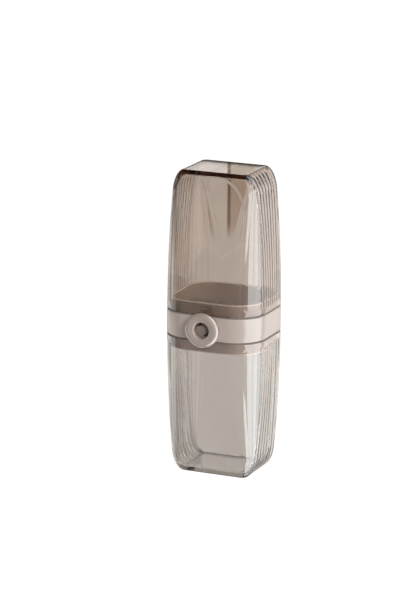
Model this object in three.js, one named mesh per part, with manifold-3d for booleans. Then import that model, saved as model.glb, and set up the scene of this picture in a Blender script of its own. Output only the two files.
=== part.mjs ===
// Travel case for a toothbrush: two clear cups that close on a middle band with a push button.
// Millimetres, +Z up. The case stands on its flat base and the button faces -Y.
import * as THREE from 'three';
import { mergeVertices } from 'three/addons/utils/BufferGeometryUtils.js';
import Module from 'manifold-3d';

const wasm = await Module();
wasm.setup();

// Outline of the case at the band, where it is widest
const caseWidth = 70.6;
const caseDepth = 64;
const caseCornerRadius = 21;

// Flat end of each cup: the base of the lower one, the top of the upper one
const endWidth = 46;
const endDepth = 36.8;
const endCornerRadius = 3;

// Width that the barrel of a cup would have at its end without the round shoulder
const barrelEndWidth = 59.6;
const shoulderHeight = 14.2;
const cornerShare = 0.3;

// Heights of the parts, from the base up
const lowerCupHeight = 96.6;
const bandHeight = 16.4;
const upperLidHeight = 94.8;

// Walls of both cups
const cupWall = 2.4;
const endThickness = 3;
const sharpestCorner = 0.5;

// Upright reeds on both sides of the cups
const reedsAcrossSide = 6;
const reedsPerCorner = 4;
const reedTurnDegrees = 52;
const reedDepthShare = 0.125;
const grooveLandShare = 0.5;
const plainLip = 2.8;
const reedRunOut = 0.6;

// Clearances
const slidingGap = 0.3;
const seatGap = 0.3;
const overrun = 1;

// Inner collar, which both cups slide over
const collarWall = 1.6;
const collarReach = 9;

// Seal rings between the cups and the band
const sealThickness = 0.5;
const sealInset = 0.6;

// Outer band
const bandChamfer = 0.5;

// Push button: a ring round a sunken core
const buttonDiameter = 24;
const buttonHole = 11;
const buttonThickness = 5;
const buttonTravel = 2;
const buttonEndGap = 0.4;
const buttonDish = 0.9;
const buttonFrontRound = 2;
const buttonBackRound = 0.8;
const buttonHoleRound = 0.8;
const coreSeat = 1.4;
const coreTailDiameter = 4.6;

// Latch slider behind the button, with the nose that holds the lid
const sliderWidth = 16;
const sliderHeight = 12.4;
const sliderThickness = 2.2;
const armWidth = 8;
const armThickness = 1.6;
const noseHeight = 3;
const noseBelowRim = 4.2;
const noseSlope = 0.8;
const windowGap = 0.6;
const catchDepth = 0.6;
const catchGap = 0.5;

// Return spring
const springLength = 5.4;
const springWire = 0.6;
const springDiameter = 8.4;
const springTurns = 3.5;

// Box round the mechanism on the inside of the collar, and its cover
const boxWidth = 30;
const boxWall = 1.4;
const boxBelowMiddle = 8.6;
const boxRimGap = 0.6;
const coverThickness = 1.6;
const coverCorner = 2;
const springSpigot = 6.2;
const springSpigotHeight = 1.2;

// Screws, and the band's bosses that four of them bite into
const screwShank = 2;
const screwLength = 6.4;
const screwHead = 3.8;
const screwHeadHeight = 1.3;
const screwTip = 0.8;
const screwSlotWidth = 0.6;
const screwSlotDepth = 0.6;
const bossDiameter = 4.4;
const bossAcross = 22.6;
const bossUp = 11;
const sliderScrewLength = 4.4;
const sliderScrewHead = 5.6;

// Facets
const cornerSteps = 6;
const reedSteps = 3;
const paneSteps = 3;
const barrelSteps = 5;
const shoulderSteps = 4;
const roundSteps = 32;
const smallRoundSteps = 16;
const curlSteps = 8;
const wireSides = 5;
const frontRoundSteps = 5;
const backRoundSteps = 2;

// Heights that follow from the sizes above
const sealSlot = seatGap + sealThickness + seatGap;
const bandBottom = lowerCupHeight + sealSlot;
const bandTop = bandBottom + bandHeight;
const lidRim = bandTop + sealSlot;
const bandMiddle = (bandBottom + bandTop) / 2;
const collarBottom = bandBottom - collarReach;
const collarTop = bandTop + collarReach;

// Depths behind the front face, one behind the other, from the outside in
const front = -caseDepth / 2;
const bandInside = front + cupWall;
const collarInset = cupWall + slidingGap;
const collarFront = front + collarInset;
const collarInside = collarFront + collarWall;
const sliderFront = collarInside + seatGap;
const sliderBack = sliderFront + sliderThickness;
const springFront = sliderBack + seatGap;
const springBack = springFront + springLength;
const coverFront = springBack + seatGap;
const coverBack = coverFront + coverThickness;
const buttonBack = front - buttonTravel - buttonEndGap;
const buttonFace = buttonBack - buttonThickness;
const coreFace = buttonBack - coreSeat;
const noseMiddle = collarTop - noseBelowRim;

// Finishes
const tintedClear = plastic(0xb89f8e, 0.08, 0.4);
const clear = plastic(0xd9d6d1, 0.08, 0.3);
const beige = plastic(0xcbb9ae, 0.45);
const taupe = plastic(0x8f7d73, 0.5);
const darkRubber = plastic(0x4a403b, 0.7);
const white = plastic(0xd8d4cd, 0.5);
const steel = new THREE.MeshStandardMaterial({ color: 0xb9bcc0, roughness: 0.3, metalness: 1 });

function plastic(color, roughness, opacity = 1) {
  const transparent = opacity < 1;
  return new THREE.MeshStandardMaterial({ color, roughness, metalness: 0, opacity, transparent });
}

// Turns a closed geometry into a solid that can be cut and joined
function solid(geometry) {
  const bare = geometry.clone();
  bare.deleteAttribute('normal');
  bare.deleteAttribute('uv');
  const merged = mergeVertices(bare);
  const index = merged.index.array;
  const kept = [];
  for (let i = 0; i < index.length; i += 3) {
    const [a, b, c] = [index[i], index[i + 1], index[i + 2]];
    if (a !== b && b !== c && c !== a) kept.push(a, b, c);
  }
  const vertProperties = merged.attributes.position.array;
  return new wasm.Manifold(new wasm.Mesh({ numProp: 3, vertProperties, triVerts: new Uint32Array(kept) }));
}

// Gives a solid a name and a finish
function piece(name, body, material) {
  const { vertProperties, triVerts } = body.getMesh();
  const geometry = new THREE.BufferGeometry();
  geometry.setAttribute('position', new THREE.BufferAttribute(vertProperties, 3));
  geometry.setIndex(new THREE.BufferAttribute(triVerts, 1));
  geometry.computeVertexNormals();
  const mesh = new THREE.Mesh(geometry, material);
  mesh.name = name;
  return mesh;
}

// Closed body through rings of points, lowest ring first, each counterclockwise from above
function loft(rings) {
  const count = rings[0].length;
  const triangles = [];
  for (let level = 0; level + 1 < rings.length; level++) {
    for (let i = 0; i < count; i++) {
      const low = level * count + i;
      const next = level * count + (i + 1) % count;
      triangles.push(low, next, next + count, low, next + count, low + count);
    }
  }
  const bottomCentre = rings.length * count;
  const topCentre = bottomCentre + 1;
  const topRing = bottomCentre - count;
  for (let i = 0; i < count; i++) {
    const j = (i + 1) % count;
    triangles.push(bottomCentre, j, i, topCentre, topRing + i, topRing + j);
  }
  const centres = [[0, 0, rings[0][0][2]], [0, 0, rings.at(-1)[0][2]]];
  const geometry = new THREE.BufferGeometry();
  const positions = new Float32Array([...rings.flat(2), ...centres.flat()]);
  geometry.setAttribute('position', new THREE.BufferAttribute(positions, 3));
  geometry.setIndex(triangles);
  return solid(geometry);
}

// Box between two corners
function slab(x0, x1, y0, y1, z0, z1) {
  const box = new THREE.BoxGeometry(x1 - x0, y1 - y0, z1 - z0);
  return solid(box.translate((x0 + x1) / 2, (y0 + y1) / 2, (z0 + z1) / 2));
}

// Round bar along Y
function rod(diameter, y0, y1, x, z, steps = smallRoundSteps) {
  const bar = new THREE.CylinderGeometry(diameter / 2, diameter / 2, y1 - y0, steps);
  return solid(bar.translate(x, (y0 + y1) / 2, z));
}

// Turned body about Y, from a profile of [radius, y] points
function turned(profile, steps) {
  return solid(new THREE.LatheGeometry(profile.map(([r, y]) => new THREE.Vector2(r, y)), steps));
}

// Points on an arc, the angles in degrees
function arc(cx, cy, radius, from, to, steps) {
  return Array.from({ length: steps + 1 }, (_, i) => {
    const angle = THREE.MathUtils.degToRad(from + (to - from) * i / steps);
    return [cx + radius * Math.cos(angle), cy + radius * Math.sin(angle)];
  });
}

// Rounded rectangle at height z, counterclockwise, starting on the right side
function plainRing({ halfWidth, halfDepth, radius }, z) {
  const x = halfWidth - radius;
  const y = halfDepth - radius;
  const corners = [[x, -y, -90], [x, y, 0], [-x, y, 90], [-x, -y, 180]];
  return corners.flatMap(([cx, cy, from]) => arc(cx, cy, radius, from, from + 90, cornerSteps))
    .map(([px, py]) => [px, py, z]);
}

// Outline at the band, drawn in by an inset
function bandOutline(inset) {
  return {
    halfWidth: caseWidth / 2 - inset,
    halfDepth: caseDepth / 2 - inset,
    radius: caseCornerRadius - inset,
  };
}

// Straight tube of the band's outline between two heights
function bandTube(outerInset, innerInset, z0, z1) {
  const outer = loft([z0, z1].map((z) => plainRing(bandOutline(outerInset), z)));
  const inner = loft([z0 - overrun, z1 + overrun].map((z) => plainRing(bandOutline(innerInset), z)));
  return outer.subtract(inner);
}

// Outline of a cup at a distance from its rim: a barrel that closes in with the square of that distance,
// with a quarter ellipse as shoulder and corners that sharpen towards the end
function cupOutline(height, fromRim, wall, end) {
  const closing = (fromRim / height) ** 2;
  const rise = Math.min(1, Math.max(0, (height - end - fromRim) / (shoulderHeight - end)));
  const shoulder = Math.sqrt(1 - (1 - rise) ** 2);
  const barrel = (caseWidth - (caseWidth - barrelEndWidth) * closing) / 2;
  const roundness = (1 - closing) * (cornerShare + (1 - cornerShare) * shoulder);
  const radius = endCornerRadius + (caseCornerRadius - endCornerRadius) * roundness;
  return {
    halfWidth: endWidth / 2 + (barrel - endWidth / 2) * shoulder - wall,
    halfDepth: (caseDepth - (caseDepth - endDepth) * closing) / 2 - wall,
    radius: Math.max(sharpestCorner, radius - wall),
  };
}

// Reeded side of a cup on the right, from the front corner to the back one.
// Each reed is a shallow hump between two sharp grooves, as deep as a share of its own pitch.
function reededSide({ halfWidth, halfDepth, radius }, fade) {
  const x = halfWidth - radius;
  const y = halfDepth - radius;
  const turn = THREE.MathUtils.degToRad(reedTurnDegrees);
  const cornerPitch = radius * turn / reedsPerCorner;
  const sidePitch = 2 * y / reedsAcrossSide;
  const at = (cx, cy, angle, inset) => [
    cx + (radius - inset) * Math.cos(angle),
    cy + (radius - inset) * Math.sin(angle),
  ];
  const points = [];
  const total = reedsPerCorner + reedsAcrossSide + reedsPerCorner;
  for (let step = 0; step <= total * reedSteps; step++) {
    const reed = step / reedSteps;
    const hump = 2 * (reed - Math.floor(reed)) - 1;
    const onFrontCorner = reed < reedsPerCorner;
    const onBackCorner = reed >= reedsPerCorner + reedsAcrossSide;
    const pitch = onFrontCorner || onBackCorner ? cornerPitch : sidePitch;
    const inset = reedDepthShare * pitch * fade * hump ** 2;
    if (onFrontCorner) {
      points.push(at(x, -y, turn * (reed / reedsPerCorner - 1), inset));
    } else if (onBackCorner) {
      points.push(at(x, y, turn * (reed - reedsPerCorner - reedsAcrossSide) / reedsPerCorner, inset));
    } else {
      points.push([halfWidth - inset, -y + sidePitch * (reed - reedsPerCorner)]);
    }
  }
  return points;
}

// Whole reeded outline at height z, with a smooth pane in front and behind
function reededRing(outline, z, fade) {
  const { halfWidth, halfDepth, radius } = outline;
  const x = halfWidth - radius;
  const y = halfDepth - radius;
  const land = grooveLandShare * reedTurnDegrees / reedsPerCorner / reedSteps;
  const pane = (cx, cy, from, to) => arc(cx, cy, radius, from, to, paneSteps);
  const right = reededSide(outline, fade);
  const left = right.map(([px, py]) => [-px, -py]);
  const ring = [
    ...right,
    ...pane(x, y, reedTurnDegrees + land, 90),
    ...pane(-x, y, 90, 180 - reedTurnDegrees - land),
    ...left,
    ...pane(-x, -y, 180 + reedTurnDegrees + land, 270),
    ...pane(x, -y, 270, 360 - reedTurnDegrees - land),
  ];
  return ring.map(([px, py]) => [px, py, z]);
}

// Distances from the rim at which a cup's outline is drawn
function cupLevels(height, start, end) {
  const shoulderStart = height - shoulderHeight;
  const barrel = Array.from({ length: barrelSteps + 1 }, (_, i) => (
    start + (shoulderStart - start) * i / barrelSteps));
  const shoulder = Array.from({ length: shoulderSteps }, (_, i) => {
    const angle = Math.PI / 2 * (i + 1) / shoulderSteps;
    return shoulderStart + (shoulderHeight - end) * Math.sin(angle);
  });
  return [...barrel, ...shoulder];
}

// Cup with its rim at a height, its end up (direction 1) or down (direction -1)
function cup(height, rimHeight, direction) {
  const ordered = (rings) => (direction > 0 ? rings : rings.reverse());
  const reeded = cupLevels(height, plainLip + reedRunOut, 0);
  const outer = [0, plainLip, ...reeded].map((fromRim) => {
    const fade = fromRim > plainLip ? 1 : 0;
    return reededRing(cupOutline(height, fromRim, 0, 0), rimHeight + direction * fromRim, fade);
  });
  const inner = [-overrun, ...cupLevels(height, 0, endThickness)].map((fromRim) => {
    const outline = cupOutline(height, Math.max(0, fromRim), cupWall, endThickness);
    return plainRing(outline, rimHeight + direction * fromRim);
  });
  return loft(ordered(outer)).subtract(loft(ordered(inner)));
}

function makeLowerCup() {
  return piece('lower_cup', cup(lowerCupHeight, lowerCupHeight, -1), clear);
}

// The lid has a shallow catch in the inside of its front wall, opposite the latch nose
function makeUpperLid() {
  const half = armWidth / 2 + catchGap + catchGap;
  const halfHeight = noseHeight / 2 + catchGap;
  const recess = slab(-half, half, bandInside - catchDepth, bandInside + overrun,
    noseMiddle - halfHeight, noseMiddle + halfHeight);
  return piece('upper_lid', cup(upperLidHeight, lidRim, 1).subtract(recess), tintedClear);
}

// Middle of each cover screw
function bossPlaces() {
  return [-1, 1].flatMap((side) => [-1, 1].map((level) => (
    [side * bossAcross / 2, bandMiddle + level * bossUp / 2])));
}

// Hole for the button's core through the band and the collar
function coreHole() {
  return rod(buttonHole, front - overrun, sliderBack, 0, bandMiddle, roundSteps);
}

// Outer band with a broken edge at both rims and four screw bosses on its inside
function makeMiddleBand() {
  const levels = [
    [bandChamfer, bandBottom],
    [0, bandBottom + bandChamfer],
    [0, bandTop - bandChamfer],
    [bandChamfer, bandTop],
  ];
  const outer = loft(levels.map(([inset, z]) => plainRing(bandOutline(inset), z)));
  const inside = bandOutline(cupWall);
  const inner = loft([bandBottom - overrun, bandTop + overrun].map((z) => plainRing(inside, z)));
  let band = outer.subtract(inner).subtract(coreHole());
  for (const [x, z] of bossPlaces()) {
    const boss = rod(bossDiameter, bandInside - cupWall / 2, springBack, x, z);
    const pilot = rod(screwShank + seatGap, springBack - screwLength, springBack + overrun, x, z);
    band = band.add(boss).subtract(pilot);
  }
  return piece('middle_band', band, beige);
}

// Inner collar with the mechanism's box moulded on the inside of its front wall
function makeInnerCollar() {
  const box = mechanismBox();
  const boxOutside = slab(box.left, box.right, collarInside - collarWall / 2, springBack, box.low, box.high);
  const boxInside = slab(box.left + boxWall, box.right - boxWall, collarInside, springBack + overrun,
    box.low + boxWall, box.high - boxWall);
  const halfWindow = armWidth / 2 + windowGap;
  const halfWindowHeight = noseHeight / 2 + windowGap;
  const window = slab(-halfWindow, halfWindow, collarFront - overrun, sliderFront,
    noseMiddle - halfWindowHeight, noseMiddle + halfWindowHeight);
  let collar = bandTube(collarInset, collarInset + collarWall, collarBottom, collarTop)
    .add(boxOutside)
    .subtract(boxInside)
    .subtract(window)
    .subtract(coreHole());
  for (const [x, z] of bossPlaces()) {
    collar = collar.subtract(rod(bossDiameter + slidingGap + slidingGap, front, springBack + overrun, x, z));
  }
  return piece('inner_collar', collar, taupe);
}

// Outside of the mechanism's box, seen from the front
function mechanismBox() {
  return {
    left: -boxWidth / 2,
    right: boxWidth / 2,
    low: bandMiddle - boxBelowMiddle,
    high: collarTop - boxRimGap,
  };
}

function makeSealRing(name, z) {
  return piece(name, bandTube(sealInset, collarInset - slidingGap, z, z + sealThickness), darkRubber);
}

// Ring of the button: dished towards its hole, with a round outer edge
function makeButtonRing() {
  const outer = buttonDiameter / 2;
  const hole = buttonHole / 2;
  const backRoundStart = buttonThickness - buttonBackRound;
  const profile = [
    [hole, buttonThickness],
    [hole, buttonDish + buttonHoleRound],
    [hole + buttonHoleRound, buttonDish],
    ...arc(outer - buttonFrontRound, buttonFrontRound, buttonFrontRound, -90, 0, frontRoundSteps),
    ...arc(outer - buttonBackRound, backRoundStart, buttonBackRound, 0, 90, backRoundSteps),
    [hole, buttonThickness],
  ];
  const ring = piece('button_ring', turned(profile, roundSteps), beige);
  ring.position.set(0, buttonFace, bandMiddle);
  return ring;
}

// Core of the button: the floor of its hole, and the stem that carries the latch slider
function makeButtonCore() {
  const core = buttonHole / 2 - slidingGap;
  const tail = coreTailDiameter / 2;
  const pilot = (screwShank + seatGap) / 2;
  const shoulder = sliderFront - seatGap;
  const profile = [
    [0, coreFace],
    [core, coreFace],
    [core, shoulder],
    [tail, shoulder],
    [tail, sliderBack],
    [pilot, sliderBack],
    [pilot, sliderBack - sliderScrewLength],
    [0, sliderBack - sliderScrewLength],
  ];
  const stem = piece('button_core', turned(profile, roundSteps), taupe);
  stem.position.set(0, 0, bandMiddle);
  return stem;
}

// Latch slider: a plate on the button's stem, with an arm up to the nose that looks through the collar
function makeLatchSlider() {
  const half = sliderWidth / 2;
  const armHalf = armWidth / 2;
  const low = noseMiddle - noseHeight / 2;
  const high = noseMiddle + noseHeight / 2;
  const plate = slab(-half, half, sliderFront, sliderBack,
    bandMiddle - sliderHeight / 2, bandMiddle + sliderHeight / 2);
  const arm = slab(-armHalf, armHalf, sliderFront, sliderFront + armThickness, bandMiddle, high);
  const outline = new THREE.Shape();
  outline.moveTo(collarFront, low);
  outline.lineTo(sliderFront + armThickness / 2, low);
  outline.lineTo(sliderFront + armThickness / 2, high);
  outline.lineTo(collarFront + noseSlope, high);
  outline.lineTo(collarFront, high - noseSlope);
  const extruded = new THREE.ExtrudeGeometry(outline, { depth: armWidth, bevelEnabled: false });
  const turnUpright = new THREE.Matrix4().set(0, 0, 1, -armHalf, 1, 0, 0, 0, 0, 1, 0, 0, 0, 0, 0, 1);
  const nose = solid(extruded.applyMatrix4(turnUpright));
  const holeDiameter = coreTailDiameter + slidingGap + slidingGap;
  const hole = rod(holeDiameter, sliderFront - overrun, sliderBack + overrun, 0, bandMiddle);
  return piece('latch_slider', plate.add(arm).add(nose).subtract(hole), white);
}

// Cover of the mechanism's box, with a spigot that centres the spring
function makeMechanismCover() {
  const box = mechanismBox();
  const low = box.low + coverCorner;
  const high = box.high - coverCorner;
  const right = box.right - coverCorner;
  const corners = [[right, low, -90], [right, high, 0], [-right, high, 90], [-right, low, 180]];
  const points = corners.flatMap(([x, z, from]) => arc(x, z, coverCorner, from, from + 90, cornerSteps));
  const outline = new THREE.Shape(points.map(([x, z]) => new THREE.Vector2(x, z)));
  const plate = new THREE.ExtrudeGeometry(outline, { depth: coverThickness, bevelEnabled: false });
  let cover = solid(plate.rotateX(Math.PI / 2).translate(0, coverBack, 0))
    .add(rod(springSpigot, coverFront - springSpigotHeight, coverBack - coverThickness / 2, 0, bandMiddle));
  const screwHole = screwShank + slidingGap + slidingGap;
  for (const [x, z] of bossPlaces()) {
    cover = cover.subtract(rod(screwHole, coverFront - overrun, coverBack + overrun, x, z));
  }
  return piece('mechanism_cover', cover, taupe);
}

// Pan head screw along Y, head at the back, with a crossed slot
function makeScrew(name, length, head, x, underHead, z) {
  const shank = screwShank / 2 - seatGap / 2;
  const profile = [
    [0, -length],
    [shank / 2, -length],
    [shank, screwTip - length],
    [shank, 0],
    [head / 2, 0],
    [head / 2, screwHeadHeight / 2],
    [head / 3, screwHeadHeight],
    [0, screwHeadHeight],
  ];
  const slotHalf = screwSlotWidth / 2;
  const reach = head / 4;
  const slotFloor = screwHeadHeight - screwSlotDepth;
  const slots = slab(-reach, reach, slotFloor, screwHeadHeight + overrun, -slotHalf, slotHalf)
    .add(slab(-slotHalf, slotHalf, slotFloor, screwHeadHeight + overrun, -reach, reach));
  const screw = piece(name, turned(profile, smallRoundSteps).subtract(slots), steel);
  screw.position.set(x, underHead, z);
  return screw;
}

// Return spring along Y: one unbroken wire, a step every eighth of a turn, closed by a flat at each end
function makeReturnSpring() {
  const steps = springTurns * curlSteps;
  const rise = springLength - springWire;
  const centre = (i) => {
    const angle = 2 * Math.PI * i / curlSteps;
    const radius = springDiameter / 2;
    const y = springFront + springWire / 2 + rise * i / steps;
    return new THREE.Vector3(radius * Math.cos(angle), y, radius * Math.sin(angle));
  };
  const positions = [];
  const triangles = [];
  for (let i = 0; i <= steps; i++) {
    const middle = centre(i);
    const outward = new THREE.Vector3(middle.x, 0, middle.z).normalize();
    for (let side = 0; side < wireSides; side++) {
      const angle = 2 * Math.PI * side / wireSides;
      const point = middle.clone().addScaledVector(outward, springWire / 2 * Math.cos(angle));
      positions.push(point.x, point.y + springWire / 2 * Math.sin(angle), point.z);
    }
  }
  for (let i = 0; i < steps; i++) {
    for (let side = 0; side < wireSides; side++) {
      const a = i * wireSides + side;
      const b = i * wireSides + (side + 1) % wireSides;
      triangles.push(a, b, b + wireSides, a, b + wireSides, a + wireSides);
    }
  }
  const last = steps * wireSides;
  for (let side = 1; side + 1 < wireSides; side++) {
    triangles.push(0, side + 1, side, last, last + side, last + side + 1);
  }
  console.log(`return_spring: least gap to itself ${leastCurlGap(centre, steps).toFixed(2)} mm`);
  const geometry = new THREE.BufferGeometry();
  geometry.setAttribute('position', new THREE.BufferAttribute(new Float32Array(positions), 3));
  geometry.setIndex(triangles);
  const spring = piece('return_spring', solid(geometry), steel);
  spring.position.set(0, 0, bandMiddle);
  return spring;
}

// Least distance between the wire's skin and itself, more than half a turn further on
function leastCurlGap(centre, steps) {
  let least = Infinity;
  for (let i = 0; i <= steps; i++) {
    for (let j = i + curlSteps / 2; j <= steps; j++) {
      least = Math.min(least, centre(i).distanceTo(centre(j)) - springWire);
    }
  }
  return least;
}

function makeSliderScrew() {
  const underHead = sliderBack + seatGap;
  return makeScrew('slider_screw', sliderScrewLength - seatGap, sliderScrewHead, 0, underHead, bandMiddle);
}

function makeCoverScrews() {
  const underHead = coverBack + seatGap;
  return bossPlaces().map(([x, z], i) => (
    makeScrew(`cover_screw_${i + 1}`, screwLength, screwHead, x, underHead, z)));
}

const group = new THREE.Group();
group.add(
  makeLowerCup(),
  makeUpperLid(),
  makeMiddleBand(),
  makeInnerCollar(),
  makeSealRing('cup_seal_ring', lowerCupHeight + seatGap),
  makeSealRing('lid_seal_ring', bandTop + seatGap),
  makeButtonRing(),
  makeButtonCore(),
  makeLatchSlider(),
  makeSliderScrew(),
  makeReturnSpring(),
  makeMechanismCover(),
  ...makeCoverScrews(),
);

export default group;
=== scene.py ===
"""Looks of a toothbrush travel case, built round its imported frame.

All lengths in this script are millimetres until a mesh, lamp or camera is made in metres.
"""
import math

import bmesh
import bpy
import numpy as np
from mathutils import Matrix, Vector


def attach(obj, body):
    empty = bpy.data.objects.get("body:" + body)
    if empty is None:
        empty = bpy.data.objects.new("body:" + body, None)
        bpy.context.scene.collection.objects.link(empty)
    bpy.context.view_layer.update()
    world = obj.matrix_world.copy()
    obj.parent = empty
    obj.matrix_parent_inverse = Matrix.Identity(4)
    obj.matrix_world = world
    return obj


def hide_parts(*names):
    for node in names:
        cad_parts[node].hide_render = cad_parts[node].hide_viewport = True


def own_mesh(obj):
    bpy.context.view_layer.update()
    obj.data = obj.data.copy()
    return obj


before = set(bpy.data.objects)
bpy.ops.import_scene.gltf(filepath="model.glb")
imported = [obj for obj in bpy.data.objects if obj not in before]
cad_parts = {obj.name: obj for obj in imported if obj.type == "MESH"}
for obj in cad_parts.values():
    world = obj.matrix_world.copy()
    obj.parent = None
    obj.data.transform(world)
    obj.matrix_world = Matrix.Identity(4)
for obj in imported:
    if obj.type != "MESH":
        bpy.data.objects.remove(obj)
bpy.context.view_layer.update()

MM = 0.001

# Sizes of the solids, the same as in the frame
CASE_WIDTH = 70.6
CASE_DEPTH = 64.0
CASE_CORNER = 21.0
CASE_MIDDLE = 105.0
END_WIDTH = 46.0
END_DEPTH = 36.8
END_CORNER = 3.0
BARREL_END_WIDTH = 59.6
SHOULDER = 14.2
CORNER_SHARE = 0.3
CUP_HEIGHT = 96.6
BAND_HEIGHT = 16.4
LID_HEIGHT = 94.8
WALL = 2.4
END_WALL = 3.0
SHARPEST = 0.5
SEAL_SLOT = 1.1
BAND_BOTTOM = CUP_HEIGHT + SEAL_SLOT
BAND_TOP = BAND_BOTTOM + BAND_HEIGHT
LID_RIM = BAND_TOP + SEAL_SLOT
BAND_MIDDLE = (BAND_BOTTOM + BAND_TOP) / 2
COLLAR_REACH = 9.0
COLLAR_BOTTOM = BAND_BOTTOM - COLLAR_REACH
COLLAR_TOP = BAND_TOP + COLLAR_REACH
COLLAR_INSET = 2.7
COLLAR_WALL = 1.6
FRONT = -CASE_DEPTH / 2
COLLAR_FRONT = FRONT + COLLAR_INSET
COLLAR_INSIDE = COLLAR_FRONT + COLLAR_WALL

# Button and mechanism: places along y, then radii and half sizes
BUTTON_BACK = FRONT - 2.4
BUTTON_FACE = BUTTON_BACK - 5.0
CORE_FACE = BUTTON_BACK - 1.4
SLIDER_FRONT = -27.4
SLIDER_BACK = -25.2
SPRING_FRONT = -24.9
SPRING_BACK = -19.5
COVER_FRONT = -19.2
COVER_BACK = -17.6
BUTTON_RADIUS = 12.0
BUTTON_BORE = 5.5
CORE_RADIUS = BUTTON_BORE - 0.3
STEM_RADIUS = 2.3
STEM_HOLE = 11.0
SPRING_RADIUS = 4.2
SPRING_WIRE = 0.6
SPRING_TURNS = 3.5
NOSE_MIDDLE = COLLAR_TOP - 4.2
NOSE_HALF_WIDTH = 4.2
NOSE_HALF_HEIGHT = 1.7
BOX_HALF_WIDTH = 15.0
BOX_BOTTOM = BAND_MIDDLE - 8.6
BOX_TOP = COLLAR_TOP - 0.6
BOX_WALL = 1.4
BOSS_ACROSS = 11.3
BOSS_LEVEL = 5.5
BOSS_RADIUS = 2.2
BOSS_BORE = 1.15
BOSS_HOLE = 5.0
SCREW_HOLE = 2.6

# Round edges: of a cup's end, of its rim and of the floor inside it
END_EDGE = 0.35
RIM_EDGE = 0.3
FLOOR_EDGE = 0.9

# Reeds of the cups' sides. A share is the depth over the pitch
REEDS_ACROSS_SIDE = 6
REEDS_PER_CORNER = 4
REED_TURN = math.radians(52)
REED_DEPTH_SHARE = 0.05
SHOULDER_REED_SHARE = 0.1
REED_GROWTH_BEFORE = 12.0
REED_GROWTH_LENGTH = 18.0
PLAIN_LIP = 2.8
ARCH_SHARE = 0.35
ARCH_FADE = 0.9
REED_STEPS = 8


# Surfaces in numpy


def loft(rings, ring_shut=False):
    """Points and faces of a skin through rings of equally many points.

    A shut loft joins its last ring to its first, like a tyre. An open one gets a fan over each end ring.
    """
    rings = np.asarray(rings, float)
    levels, count, _ = rings.shape
    points = rings.reshape(-1, 3)
    here = np.arange(count)
    after = (here + 1) % count
    last = levels if ring_shut else levels - 1
    low = np.arange(last)[:, None] * count
    high = (np.arange(1, last + 1) % levels)[:, None] * count
    faces = np.stack([low + here, low + after, high + after, high + here], 2).reshape(-1, 4).tolist()
    if not ring_shut:
        middle = len(points)
        points = np.concatenate([points, [rings[0].mean(0)], [rings[-1].mean(0)]])
        top = (levels - 1) * count
        faces += np.stack([after, here, np.full(count, middle)], 1).tolist()
        faces += np.stack([top + here, top + after, np.full(count, middle + 1)], 1).tolist()
    return points, faces


def smooth(share):
    """Smooth rise from 0 to 1: three times the square less twice the cube, level outside that range."""
    share = np.clip(share, 0, 1)
    return share**2 * (3 - 2 * share)


def arc(cx, cy, radius, start, end, steps):
    """Points on an arc, angles in radians: centre plus radius times cosine and sine of the angle."""
    angle = np.linspace(start, end, steps + 1)
    return np.stack([cx + radius * np.cos(angle), cy + radius * np.sin(angle)], 1)


def rounded_rectangle(half_width, half_depth, radius, steps=20):
    """Outline of a rectangle with round corners, counterclockwise from the right side's front end."""
    x, y = half_width - radius, half_depth - radius
    quarter = math.pi / 2
    corners = [(x, -y, -1), (x, y, 0), (-x, y, 1), (-x, -y, 2)]
    return np.concatenate([
        arc(cx, cy, radius, k * quarter, (k + 1) * quarter, steps) for cx, cy, k in corners
    ])


def at_height(outline, z):
    """Outline in the level plane at height z."""
    return np.column_stack([outline, np.full(len(outline), z)])


def at_depth(outline, y):
    """Outline of x and z in the upright plane at depth y."""
    return np.column_stack([outline[:, 0], np.full(len(outline), y), outline[:, 1]])


def round_ring(radius, y, x=0.0, z=BAND_MIDDLE, steps=96):
    """Circle about a line along y."""
    angle = np.linspace(0, 2 * np.pi, steps, endpoint=False)
    return np.column_stack([x + radius * np.cos(angle), np.full(steps, y), z + radius * np.sin(angle)])


def edge_round(radius, steps=4):
    """Steps round an edge: for each, how far in from the side and how far down from the end."""
    angle = np.linspace(0, math.pi / 2, steps + 1)
    return [(radius * (1 - math.sin(a)), radius * (1 - math.cos(a))) for a in angle]


def band_outline(inset):
    """Outline of the case at the band, drawn in by an inset."""
    return rounded_rectangle(CASE_WIDTH / 2 - inset, CASE_DEPTH / 2 - inset, CASE_CORNER - inset)


def cup_outline(height, from_rim, wall, end):
    """Half width, half depth and corner radius of a cup at a distance from its rim.

    The barrel closes in with the square of that distance. The shoulder is a quarter ellipse.
    """
    closing = (from_rim / height) ** 2
    rise = min(1.0, max(0.0, (height - end - from_rim) / (SHOULDER - end)))
    shoulder = math.sqrt(1 - (1 - rise) ** 2)
    barrel = (CASE_WIDTH - (CASE_WIDTH - BARREL_END_WIDTH) * closing) / 2
    roundness = (1 - closing) * (CORNER_SHARE + (1 - CORNER_SHARE) * shoulder)
    radius = END_CORNER + (CASE_CORNER - END_CORNER) * roundness
    half_width = END_WIDTH / 2 + (barrel - END_WIDTH / 2) * shoulder - wall
    half_depth = (CASE_DEPTH - (CASE_DEPTH - END_DEPTH) * closing) / 2 - wall
    return half_width, half_depth, max(SHARPEST, radius - wall)


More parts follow.
